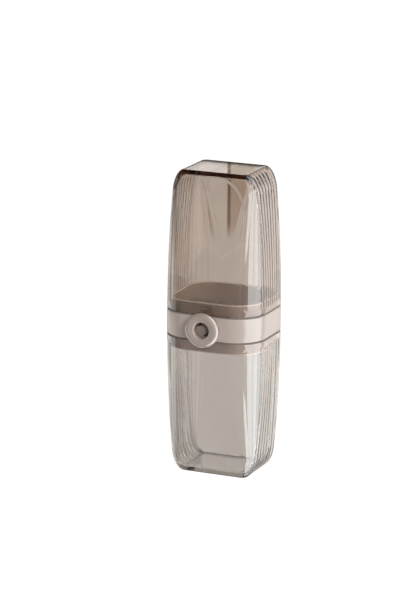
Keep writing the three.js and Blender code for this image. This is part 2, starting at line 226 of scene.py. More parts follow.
def reeded_side(half_width, half_depth, radius, from_rim, depth_share):
    """Right side of a cup from its front corner to its back one.

    Across a reed, the inset is its share of the pitch times the square of the distance from its middle.
    Each reed ends in an arch above the plain lip: the groove starts the further up, the nearer it is to
    the reed's edge.
    """
    x, y = half_width - radius, half_depth - radius
    to_back = REEDS_PER_CORNER + REEDS_ACROSS_SIDE
    reed = np.arange((to_back + REEDS_PER_CORNER) * REED_STEPS + 1) / REED_STEPS
    across = 2 * (reed % 1) - 1
    on_front, on_back = reed < REEDS_PER_CORNER, reed >= to_back
    on_corner = on_front | on_back
    side_pitch = 2 * y / REEDS_ACROSS_SIDE
    pitch = np.where(on_corner, radius * REED_TURN / REEDS_PER_CORNER, side_pitch)
    start = PLAIN_LIP + ARCH_SHARE * pitch * (1 - np.sqrt(1 - across**2))
    inset = depth_share * pitch * smooth((from_rim - start) / ARCH_FADE) * across**2
    angle = REED_TURN * (reed - np.where(on_front, REEDS_PER_CORNER, to_back)) / REEDS_PER_CORNER
    corner_x = x + (radius - inset) * np.cos(angle)
    corner_y = np.where(on_front, -y, y) + (radius - inset) * np.sin(angle)
    side_y = -y + side_pitch * (reed - REEDS_PER_CORNER)
    return np.column_stack([np.where(on_corner, corner_x, half_width - inset),
                            np.where(on_corner, corner_y, side_y)])


def cup_ring(height, from_rim, wall, end, depth_share, inset=0.0):
    """Whole outline of a cup, with a smooth pane in front and behind."""
    half_width, half_depth, radius = cup_outline(height, from_rim, wall, end)
    half_width, half_depth, radius = half_width - inset, half_depth - inset, max(0.1, radius - inset)
    x, y = half_width - radius, half_depth - radius
    right = reeded_side(half_width, half_depth, radius, from_rim, depth_share)
    quarter = math.pi / 2
    to_pane = arc(x, y, radius, REED_TURN, quarter, 8)[1:]
    across = np.concatenate([[x - 0.3], np.linspace(x - 1.2, 1.2 - x, 7), [0.3 - x, -x]])
    pane = np.column_stack([across, np.full(len(across), half_depth)])
    from_pane = arc(-x, y, radius, quarter, math.pi - REED_TURN, 8)[1:-1]
    half = np.concatenate([right, to_pane, pane, from_pane])
    return np.concatenate([half, -half])


def cup_levels(height, start, end):
    """Distances from the rim: close together at the reeds' ends and round the shoulder."""
    shoulder_start = height - SHOULDER
    lip = np.linspace(PLAIN_LIP - 0.2, PLAIN_LIP + 2.6, 17)
    barrel = np.linspace(PLAIN_LIP + 3.4, shoulder_start, 34)
    turn = np.linspace(0, math.pi / 2, 22)[1:]
    shoulder = shoulder_start + (SHOULDER - end) * np.sin(turn)
    levels = np.concatenate([[start], lip, barrel, shoulder])
    return levels[levels >= start]


def reed_share(height, from_rim):
    """Depth of the reeds as a share of their pitch: it grows smoothly toward the shoulder."""
    growth = smooth((from_rim - height + SHOULDER + REED_GROWTH_BEFORE) / REED_GROWTH_LENGTH)
    return REED_DEPTH_SHARE + (SHOULDER_REED_SHARE - REED_DEPTH_SHARE) * growth


def cup_surface(height, rim, direction):
    """One closed skin of a cup: from the middle of its end along the outside to the rim, and back inside.

    Distances are from the rim, whose height is given. The direction is 1 for a cup above it, -1 below.
    """
    rings = []
    outer = cup_levels(height, RIM_EDGE, 0)[::-1]
    for inset, drop in [(1.2, 0.0)] + edge_round(END_EDGE):
        rings.append((cup_ring(height, height - drop, 0, 0, SHOULDER_REED_SHARE, inset), height - drop))
    for s in outer[outer < height - END_EDGE - 0.01]:
        rings.append((cup_ring(height, s, 0, 0, reed_share(height, s)), s))
    for inset, drop in edge_round(RIM_EDGE)[::-1][1:]:
        rings.append((cup_ring(height, drop, 0, 0, 0, inset), drop))
    for inset, drop in edge_round(RIM_EDGE):
        rings.append((cup_ring(height, drop, WALL - inset, END_WALL, 0), drop))
    inner = cup_levels(height, 0.5, END_WALL)
    floor = height - END_WALL
    for s in inner[inner < floor - 1.0]:
        rings.append((cup_ring(height, s, WALL, END_WALL, 0), s))
    for inset, drop in edge_round(FLOOR_EDGE)[::-1] + [(2.2, 0.0)]:
        rings.append((cup_ring(height, floor - drop, WALL, END_WALL, 0, inset), floor - drop))
    return loft([at_height(outline, rim + direction * s) for outline, s in rings])


def tube_surface(outer_inset, inner_inset, low, high, edge):
    """Straight tube of the band's outline with round edges."""
    rings = [(outer_inset + i, low + d) for i, d in edge_round(edge)]
    rings += [(outer_inset + i, high - d) for i, d in edge_round(edge)[::-1]]
    rings += [(inner_inset - i, high - d) for i, d in edge_round(edge)]
    rings += [(inner_inset - i, low + d) for i, d in edge_round(edge)[::-1]]
    return loft([at_height(band_outline(inset), z) for inset, z in rings], ring_shut=True)


def turned_surface(profile, x=0.0, z=BAND_MIDDLE, hollow=False, steps=96):
    """Turned body about a line along y, from a profile of radius and y."""
    return loft([round_ring(r, y, x, z, steps) for r, y in profile], ring_shut=hollow)


def plate_surface(left, right, low, high, front, back, corner, edge):
    """Upright plate facing the front, with round corners and round edges."""
    half_width, half_height = (right - left) / 2, (high - low) / 2
    middle = np.array([(left + right) / 2, (low + high) / 2])
    levels = [(i, front + d) for i, d in edge_round(edge, 3)]
    levels += [(i, back - d) for i, d in edge_round(edge, 3)[::-1]]
    rings = []
    for inset, y in [(edge + 0.3, front)] + levels + [(edge + 0.3, back)]:
        radius = max(0.05, corner - inset)
        outline = rounded_rectangle(half_width - inset, half_height - inset, radius, 8)
        rings.append(at_depth(outline + middle, y))
    return loft(rings)


def coil_surface(radius, wire, front, back, turns, steps_per_turn=40, sides=14):
    """Coil along y: a round wire swept along a helix, with a circle of the wire at every step.

    The helix is the radius times the outward direction, which turns evenly, plus an even advance along y.
    """
    step = np.arange(int(turns * steps_per_turn) + 1)
    angle = 2 * np.pi * step / steps_per_turn
    outward = np.column_stack([np.cos(angle), np.zeros(len(step)), np.sin(angle)])
    advance = front + wire / 2 + (back - front - wire) * step / step[-1]
    middle = radius * outward + np.column_stack([0 * advance, advance, np.full(len(step), BAND_MIDDLE)])
    around = np.linspace(0, 2 * np.pi, sides, endpoint=False)[:, None]
    circles = np.cos(around) * outward[:, None] + np.sin(around) * np.array([0, 1, 0])
    return loft(middle[:, None] + wire / 2 * circles)


# Objects


def mesh_object(name, surface):
    """Object in metres from points in millimetres, its faces turned outward."""
    points, faces = surface
    mesh = bpy.data.meshes.new(name)
    mesh.from_pydata((np.asarray(points) * MM).tolist(), [], faces)
    shape = bmesh.new()
    shape.from_mesh(mesh)
    bmesh.ops.recalc_face_normals(shape, faces=shape.faces)
    shape.to_mesh(mesh)
    shape.free()
    thing = bpy.data.objects.new(name, mesh)
    bpy.context.scene.collection.objects.link(thing)
    return thing


def cut(thing, surface):
    """Takes a closed surface out of an object."""
    cut_by(thing, mesh_object("cutter", surface))


def cut_by(thing, cutter):
    """Takes another object out of an object and removes the other."""
    modifier = thing.modifiers.new("cut", "BOOLEAN")
    modifier.operation = "DIFFERENCE"
    modifier.solver = "EXACT"
    modifier.object = cutter
    bpy.context.view_layer.update()
    whole = thing.evaluated_get(bpy.context.evaluated_depsgraph_get())
    result = bpy.data.meshes.new_from_object(whole)
    thing.modifiers.clear()
    thing.data = result
    bpy.data.objects.remove(cutter)


def finished(thing, material, body, nodes, sharp=30):
    """Smooth shading with sharp edges over an angle, a finish, and a place in the frame."""
    mesh = thing.data
    mesh.materials.clear()
    mesh.materials.append(material)
    mesh.polygons.foreach_set("use_smooth", np.ones(len(mesh.polygons), bool))
    mesh.set_sharp_from_angle(angle=math.radians(sharp))
    mesh.update()
    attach(thing, body)
    if nodes:
        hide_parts(*nodes)
    return thing


# Materials

# Patterns, in features per metre of the object
WAVES = 45.0  # slow waves of the moulding, about 22 mm long
HAZE = 260.0  # patches of faint haze, about 4 mm wide
DRIFT = 60.0  # drift of the colour over about 17 mm
GRAIN = 3200.0  # spark-eroded grain of 0.3 mm, because the real one of about 0.05 mm is too fine to show

# Hair-line arch in the lid's panes: middle's height, radius, half width of the line and its relief
ARCH_MIDDLE = 183.0
ARCH_RADIUS = 24.0
ARCH_LINE = 0.45
ARCH_RELIEF = 0.08

# Pale colour of the collar's edges: a painted highlight, standing in for the light its rounded edges catch
PAINTED_EDGE_HIGHLIGHT = "f7f2ee"


def linear(hexcode):
    """Linear colour from an sRGB hex code."""
    values = [int(hexcode[i : i + 2], 16) / 255 for i in (0, 2, 4)]
    return tuple(v / 12.92 if v <= 0.04045 else ((v + 0.055) / 1.055) ** 2.4 for v in values) + (1.0,)


def add(tree, kind, inputs=None, **settings):
    """Adds a node with its settings. An input is a value or another node's socket."""
    node = tree.nodes.new(kind)
    for key, value in settings.items():
        setattr(node, key, value)
    for key, value in (inputs or {}).items():
        if isinstance(value, bpy.types.NodeSocket):
            tree.links.new(value, node.inputs[key])
        else:
            node.inputs[key].default_value = value
    return node


def new_material(name):
    """Material with an empty node tree and its output."""
    material = bpy.data.materials.new(name)
    material.use_nodes = True
    tree = material.node_tree
    tree.nodes.clear()
    return material, tree, add(tree, "ShaderNodeOutputMaterial")


def moulded_acrylic(name, colour, tint, density, arch=False):
    """Clear acrylic, injection moulded in a polished mould.

    To the eye that gives crisp highlights, and a tint that grows with the way through. The faces are very
    slightly wavy and hazy, so mirrored edges aren't quite straight. The coat is the polished skin, which
    mirrors as much again. The arch is a hair line in the front and back panes: a half circle on two
    upright lines.
    """
    material, tree, output = new_material(name)
    place = add(tree, "ShaderNodeTexCoord")
    waves = add(tree, "ShaderNodeTexNoise", {
        "Vector": place.outputs["Object"], "Scale": WAVES, "Detail": 1.0,
    })
    haze = add(tree, "ShaderNodeTexNoise", {
        "Vector": place.outputs["Object"], "Scale": HAZE, "Detail": 3.0,
    })
    rough = add(tree, "ShaderNodeMapRange", {"Value": haze.outputs["Fac"], "To Min": 0.004, "To Max": 0.014})
    normal = add(tree, "ShaderNodeBump", {
        "Height": waves.outputs["Fac"], "Strength": 0.04, "Distance": 0.03 * MM,
    })
    if arch:
        axes = add(tree, "ShaderNodeSeparateXYZ", {0: place.outputs["Object"]})
        above = add(tree, "ShaderNodeMath", {0: axes.outputs[2], 1: ARCH_MIDDLE * MM}, operation="SUBTRACT")
        rise = add(tree, "ShaderNodeMath", {0: above.outputs[0], 1: 0.0}, operation="MAXIMUM")
        spot = add(tree, "ShaderNodeCombineXYZ", {0: axes.outputs[0], 2: rise.outputs[0]})
        reach = add(tree, "ShaderNodeVectorMath", {0: spot.outputs[0]}, operation="LENGTH")
        off = add(tree, "ShaderNodeMath", {
            0: reach.outputs["Value"], 1: ARCH_RADIUS * MM,
        }, operation="SUBTRACT")
        apart = add(tree, "ShaderNodeMath", {0: off.outputs[0]}, operation="ABSOLUTE")
        line = add(tree, "ShaderNodeMapRange", {
            "Value": apart.outputs[0], "From Min": 0.0, "From Max": ARCH_LINE * MM,
            "To Min": 1.0, "To Max": 0.0,
        }, interpolation_type="SMOOTHSTEP")
        normal = add(tree, "ShaderNodeBump", {
            "Height": line.outputs["Result"], "Strength": 1.0, "Distance": ARCH_RELIEF * MM,
            "Normal": normal.outputs["Normal"],
        })
    surface = add(tree, "ShaderNodeBsdfPrincipled", {
        "Base Color": linear(colour),
        "Roughness": rough.outputs["Result"],
        "IOR": 1.5,
        "Transmission Weight": 1.0,
        "Coat Weight": 1.0,
        "Coat Roughness": 0.02,
        "Normal": normal.outputs["Normal"],
    })
    inside = add(tree, "ShaderNodeVolumeAbsorption", {"Color": linear(tint), "Density": density})
    tree.links.new(surface.outputs["BSDF"], output.inputs["Surface"])
    tree.links.new(inside.outputs["Volume"], output.inputs["Volume"])
    return material


def satin_moulding(name, colour, shade, roughness, grain=0.25, coat=0.0, coat_roughness=0.12, coat_ior=1.5,
                   painted_highlight_edges=None, lower=None):
    """Satin moulding, IOR 1.49 as of polypropylene: fine spark-eroded grain that softens the highlights.

    Its colour and gloss drift faintly over the part. A coat is the smoother skin of a polished mould. The
    edge heights are in mm: beyond them a part's edge is painted pale, a painted highlight. Lower is its
    colour below the band's middle, painted paler as painted light, given together with them.
    """
    material, tree, output = new_material(name)
    place = add(tree, "ShaderNodeTexCoord")
    drift = add(tree, "ShaderNodeTexNoise", {
        "Vector": place.outputs["Object"], "Scale": DRIFT, "Detail": 3.0,
    })
    fine = add(tree, "ShaderNodeTexNoise", {
        "Vector": place.outputs["Object"], "Scale": GRAIN, "Detail": 2.0,
    })
    tone = add(tree, "ShaderNodeMix", {
        "Factor": drift.outputs["Fac"], "A": linear(colour), "B": linear(shade),
    }, data_type="RGBA")
    # Painted light: the part is painted paler below the band's middle, and its edges beyond the given
    # heights are painted pale as a painted highlight
    if painted_highlight_edges:
        low, high = (height * MM for height in painted_highlight_edges)
        half = (high - low) / 2
        axes = add(tree, "ShaderNodeSeparateXYZ", {0: place.outputs["Object"]})
        under = add(tree, "ShaderNodeMath", {0: axes.outputs[2], 1: BAND_MIDDLE * MM}, operation="LESS_THAN")
        off = add(tree, "ShaderNodeMath", {0: axes.outputs[2], 1: (low + high) / 2}, operation="SUBTRACT")
        apart = add(tree, "ShaderNodeMath", {0: off.outputs[0]}, operation="ABSOLUTE")
        edge = add(tree, "ShaderNodeMapRange", {
            "Value": apart.outputs[0], "From Min": half, "From Max": half + 0.1 * MM,
        })
        for share, paint in ((under.outputs[0], lower), (edge.outputs["Result"], PAINTED_EDGE_HIGHLIGHT)):
            tone = add(tree, "ShaderNodeMix", {
                "Factor": share, "A": tone.outputs["Result"], "B": linear(paint),
            }, data_type="RGBA")
    gloss = add(tree, "ShaderNodeMapRange", {
        "Value": fine.outputs["Fac"], "To Min": roughness - 0.05, "To Max": roughness + 0.08,
    })
    bump = add(tree, "ShaderNodeBump", {
        "Height": fine.outputs["Fac"], "Strength": grain, "Distance": 0.04 * MM,
    })
    surface = add(tree, "ShaderNodeBsdfPrincipled", {
        "Base Color": tone.outputs["Result"],
        "Roughness": gloss.outputs["Result"],
        "IOR": 1.49,
        "Coat Weight": coat,
        "Coat Roughness": coat_roughness,
        "Coat IOR": coat_ior,
        "Normal": bump.outputs["Normal"],
    })
    tree.links.new(surface.outputs["BSDF"], output.inputs["Surface"])
    return material


def bright_steel(name, marks, roughness):
    """Bright steel with fine marks round its axis, y, left by drawing or turning: a streaky grey mirror.

    Marks are the pattern's features per metre along x, y and z.
    """
    material, tree, output = new_material(name)
    place = add(tree, "ShaderNodeTexCoord")
    stretched = add(tree, "ShaderNodeMapping", {"Vector": place.outputs["Object"], "Scale": marks})
    lines = add(tree, "ShaderNodeTexNoise", {
        "Vector": stretched.outputs["Vector"], "Scale": 1.0, "Detail": 3.0,
    })
    rough = add(tree, "ShaderNodeMapRange", {
        "Value": lines.outputs["Fac"], "To Min": roughness - 0.08, "To Max": roughness + 0.12,
    })
    bump = add(tree, "ShaderNodeBump", {
        "Height": lines.outputs["Fac"], "Strength": 0.3, "Distance": 0.03 * MM,
    })
    surface = add(tree, "ShaderNodeBsdfPrincipled", {
        "Base Color": linear("c4c3c0"),
        "Metallic": 1.0,
        "Roughness": rough.outputs["Result"],
        "Normal": bump.outputs["Normal"],
    })
    tree.links.new(surface.outputs["BSDF"], output.inputs["Surface"])
    return material


# Acrylic of the cups: tinted warm brown for the lid, a faint warm grey for the lower cup
tinted = moulded_acrylic("moulded tinted acrylic", "f3f0ec", "b68d66", 150.0, arch=True)
clear = moulded_acrylic("moulded clear acrylic", "e5e0dc", "bcb5aa", 50.0)

# Polypropylene: the band and the button's ring are polished, and the ring most, so its rim catches the
# light. The core and the collar are plain satin. The collar's edges are painted pale lines, a painted
# highlight, and below the band's middle the collar is painted paler, as painted light
beige = satin_moulding("polished beige polypropylene", "d8c9bf", "d1c1b7", 0.3, coat=1.0)
ring_beige = satin_moulding("polished button polypropylene", "c6b4a9", "bfada2", 0.3, coat=1.0,
                            coat_roughness=0.03, coat_ior=1.95)
floor_taupe = satin_moulding("satin core polypropylene", "988981", "908179", 0.45)
# The collar's material: painted paler below the band's middle, with painted highlights along its edges
taupe = satin_moulding("satin collar polypropylene with painted light", "a2948e", "9c8e87", 0.42,
                       painted_highlight_edges=(COLLAR_BOTTOM + 0.9, COLLAR_TOP - 0.6), lower="baaaa3")

# Acetal of the slider, taupe and slightly waxy, and dull silicone rubber of the seals
slider_acetal = satin_moulding("moulded slider acetal", "998d87", "93877f", 0.4)
seal_rubber = satin_moulding("moulded silicone rubber", "8f827a", "867971", 0.7, 0.5)

# Steel: marks of 1.1 mm all over the spring's wire, and of 0.4 mm round the screws' axis. Real ones are
# finer, and are drawn coarser so that they show
spring_steel = bright_steel("drawn spring steel", (900.0, 900.0, 900.0), 0.25)
screw_steel = bright_steel("turned screw steel", (2500.0, 200.0, 2500.0), 0.3)


# Cups


def make_cups():
    """Lower cup and lid, each one skin round its wall."""
    lower = mesh_object("lower_cup_shell", cup_surface(CUP_HEIGHT, CUP_HEIGHT, -1))
    finished(lower, clear, "cup", ["lower_cup"])
    upper = mesh_object("upper_lid_shell", cup_surface(LID_HEIGHT, LID_RIM, 1))
    finished(upper, tinted, "lid", ["upper_lid"])


# Band, collar and seals


def boss_places():
    """Middle of each cover screw."""
    return [(side * BOSS_ACROSS, BAND_MIDDLE + level * BOSS_LEVEL) for side in (-1, 1) for level in (-1, 1)]


def hole(diameter, front, back, x=0.0, z=BAND_MIDDLE):
    """Round bar that cuts a hole along y."""
    return turned_surface([(diameter / 2, front), (diameter / 2, back)], x, z)


def make_band():
    """Band with a hole for the button's stem, and four hollow bosses for the cover's screws."""
    band = mesh_object("outer_band", tube_surface(0, WALL, BAND_BOTTOM, BAND_TOP, 0.45))
    cut(band, hole(STEM_HOLE, FRONT - 1, COLLAR_INSIDE))
    finished(band, beige, "ring", ["middle_band"])
    profile = [(BOSS_RADIUS, FRONT + WALL), (BOSS_RADIUS, SPRING_BACK - 0.3),
               (BOSS_RADIUS - 0.3, SPRING_BACK), (BOSS_BORE, SPRING_BACK), (BOSS_BORE, FRONT + WALL)]
    for i, (x, z) in enumerate(boss_places()):
        boss = mesh_object(f"screw_boss_{i + 1}", turned_surface(profile, x, z, hollow=True, steps=32))
        finished(boss, beige, "ring", [])


def make_collar():
    """Collar with holes for the stem, the latch's nose and the bosses, and the mechanism's open box."""
    surface = tube_surface(COLLAR_INSET, COLLAR_INSET + COLLAR_WALL, COLLAR_BOTTOM, COLLAR_TOP, 0.35)
    collar = mesh_object("inner_collar_wall", surface)
    cut(collar, hole(STEM_HOLE, FRONT, SLIDER_BACK))
    nose_low, nose_high = NOSE_MIDDLE - NOSE_HALF_HEIGHT, NOSE_MIDDLE + NOSE_HALF_HEIGHT
    window = plate_surface(-NOSE_HALF_WIDTH, NOSE_HALF_WIDTH, nose_low, nose_high, FRONT, SLIDER_FRONT,
                           corner=0.3, edge=0.05)
    cut(collar, window)
    for x, z in boss_places():
        cut(collar, hole(BOSS_HOLE, FRONT, SLIDER_BACK, x, z))
    finished(collar, taupe, "ring", ["inner_collar"])
    outside = plate_surface(-BOX_HALF_WIDTH, BOX_HALF_WIDTH, BOX_BOTTOM, BOX_TOP,
                            COLLAR_INSIDE - 0.1, SPRING_BACK, corner=0.8, edge=0.2)
    half_width = BOX_HALF_WIDTH - BOX_WALL
    room = plate_surface(-half_width, half_width, BOX_BOTTOM + BOX_WALL, BOX_TOP - BOX_WALL,
                         FRONT, SPRING_BACK + 2, corner=0.6, edge=0.05)
    box = mesh_object("mechanism_box", outside)
    cut(box, room)
    finished(box, taupe, "ring", [])


def make_seals():
    """Seal rings that fill the slots over and under the band, but for a little play."""
    for name, z in (("cup_seal_ring", CUP_HEIGHT), ("lid_seal_ring", BAND_TOP)):
        surface = tube_surface(0.15, WALL, z + 0.08, z + SEAL_SLOT - 0.08, 0.2)
        finished(mesh_object(name + "_gasket", surface), seal_rubber, "ring", [name])


# Button and mechanism


def make_button():
    """Button's ring and, sunk in its bore, the core.

    The ring's face rises by half a millimetre from the bore to a dome over its outer 3.2 mm, and behind the
    rim its side curves in to a waist. The core has a crescent groove: a round bar a little wider than the
    core, less a thinner bar set to its lower left, is taken out of it.
    """
    quarter = math.pi / 2
    face = [(BUTTON_BORE + 0.8 * (1 - math.cos(a)), BUTTON_FACE + 0.5 + 0.8 * (1 - math.sin(a)))
            for a in np.linspace(0, quarter, 7)]
    dome = [(BUTTON_RADIUS - 3.2 * (1 - math.sin(a)), BUTTON_FACE + 2 * (1 - math.cos(a)))
            for a in np.linspace(0, quarter, 21)]
    waist = BUTTON_RADIUS - 1.6
    side = [(waist + 1.6 * (1 - t) ** 2, BUTTON_FACE + 2 + 1.8 * t) for t in np.linspace(0.15, 1, 7)]
    back = [(waist - 0.4 * (1 - math.cos(a)), BUTTON_BACK - 0.4 * (1 - math.sin(a)))
            for a in np.linspace(0, quarter, 5)]
    profile = [(BUTTON_BORE, BUTTON_BACK)] + face + dome + side + back
    ring = mesh_object("button_ring_body", turned_surface(profile, hollow=True, steps=160))
    finished(ring, ring_beige, "button", ["button_ring"], sharp=35)

    profile = [(CORE_RADIUS - 0.8, CORE_FACE), (CORE_RADIUS - 0.3, CORE_FACE),
               (CORE_RADIUS - 0.09, CORE_FACE + 0.09), (CORE_RADIUS, CORE_FACE + 0.3),
               (CORE_RADIUS, SLIDER_FRONT - 0.3), (STEM_RADIUS, SLIDER_FRONT - 0.3),
               (STEM_RADIUS, SLIDER_BACK)]
    core = mesh_object("button_core_body", turned_surface(profile))
    wide = [(CORE_RADIUS + 0.2, CORE_FACE - 1), (CORE_RADIUS + 0.2, CORE_FACE + 6.5)]
    groove = mesh_object("groove", turned_surface(wide))
    cut(groove, turned_surface([(3.5, CORE_FACE - 2), (3.5, CORE_FACE + 8)], -1.5, BAND_MIDDLE - 0.9))
    cut_by(core, groove)
    finished(core, floor_taupe, "button", ["button_core"], sharp=35)


def make_spring():
    """Return spring between the slider and the cover, squashed by the button."""
    surface = coil_surface(SPRING_RADIUS, SPRING_WIRE, SPRING_FRONT, SPRING_BACK, SPRING_TURNS)
    coil = mesh_object("return_spring_coil", surface)
    finished(coil, spring_steel, "ring", ["return_spring"], sharp=60)
    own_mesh(coil)


def make_cover():
    """Plate that closes the mechanism's box, with its screw holes."""
    surface = plate_surface(-BOX_HALF_WIDTH, BOX_HALF_WIDTH, BOX_BOTTOM, BOX_TOP, COVER_FRONT, COVER_BACK,
                            corner=2, edge=0.35)
    cover = mesh_object("mechanism_cover_plate", surface)
    for x, z in boss_places():
        cut(cover, hole(SCREW_HOLE, COVER_FRONT - 1, COVER_BACK + 1, x, z))
    finished(cover, taupe, "ring", ["mechanism_cover"])


def dress_frame_nodes():
    """The frame's own slider and screws keep their shape and get a finish."""
    finishes = {"latch_slider": slider_acetal, "slider_screw": screw_steel}
    finishes.update({f"cover_screw_{i}": screw_steel for i in range(1, 5)})
    for name, material in finishes.items():
        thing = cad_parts[name]
        thing.data.materials.clear()
        thing.data.materials.append(material)


# Studio

CAMERA_AZIMUTH = math.radians(23.38)
CAMERA_ELEVATION = math.radians(14.85)
CAMERA_ROLL = 0.0078
FOCAL_PIXELS = 2998.0
PIXELS_PER_MM = 1.4744
MIDDLE_AT = (224.03, 318.83)
PICTURE = (401, 601)
SENSOR = 36.0
FLOOR_REACH = 9000.0

# Levels of the surroundings
ROOM_FRONT = 0.5
ROOM_LEFT = 0.34
ROOM_BEHIND = 0.95
SHADED_SHARE = 0.55
TABLE_LOW = 0.65
LEFT_CARD = 0.02
BACK_CARD = 0.02
FRONT_CARD = 0.03
DARK_LEVEL = 0.01
WINDOW_LEVEL = 0.92
GLOW_LEVEL = 0.88
RIGHT_STRIP = 3.3
LEFT_STRIP = 0.9
SIDE_PANEL = 0.5

# Shares of the strips: for rays inside the shells, for rays off matt surfaces, and for mirrored rays high
# up, on the near part of the right softbox and then on its far part
STRIP_THROUGH = 0.35
STRIP_ON_MATT = 1.15
STRIP_HIGH = 0.1
STRIP_BREAK = 0.35

# Lower edge of the window as the sine of its height, how it slopes, and how the right strip's edge bends
WINDOW_LOW = 0.2059
WINDOW_SLOPE = 0.093
STRIP_SLANT = 3.9
BOARD_EDGE = math.radians(-156.696)
BOARD_END = math.radians(-157.15)

# Colours of the light, linear: for refracted rays, then for mirrored ones
ROOM_COLOURS = (1.0, 1.0, 1.0, 1.0), (1.0, 0.94, 0.89, 1.0)
STRIP_COLOURS = (1.0, 0.97, 0.94, 1.0), (0.93, 1.0, 1.04, 1.0)
BOARD_COLOUR = (0.74, 0.65, 0.57, 1.0)
GAP_COLOUR = (0.3, 0.2, 0.13, 1.0)


def make_floor():
    """Pale floor: as good as white to the camera, with the soft shadow of the case kept."""
    material, tree, output = new_material("floor")
    path = add(tree, "ShaderNodeLightPath")
    matt = add(tree, "ShaderNodeBsdfDiffuse", {"Color": (0.8, 0.8, 0.8, 1.0)})
    faint = add(tree, "ShaderNodeBsdfDiffuse", {"Color": (0.3, 0.3, 0.3, 1.0)})
    glow = add(tree, "ShaderNodeEmission", {"Color": (1.0, 1.0, 1.0, 1.0), "Strength": 0.94})
    seen = add(tree, "ShaderNodeAddShader", {0: faint.outputs[0], 1: glow.outputs[0]})
    mixed = add(tree, "ShaderNodeMixShader", {
        0: path.outputs["Is Camera Ray"], 1: matt.outputs[0], 2: seen.outputs[0],
    })
    tree.links.new(mixed.outputs[0], output.inputs["Surface"])
    corners = [(x * FLOOR_REACH, y * FLOOR_REACH, 0) for x, y in ((-1, -1), (1, -1), (1, 1), (-1, 1))]
    floor = mesh_object("floor", (corners, [(0, 1, 2, 3)]))
    floor.data.materials.append(material)
    floor.visible_glossy = False
    floor.visible_transmission = False


def turns(*degrees):
    """Angles in radians from angles in degrees."""
    return [math.radians(angle) for angle in degrees]


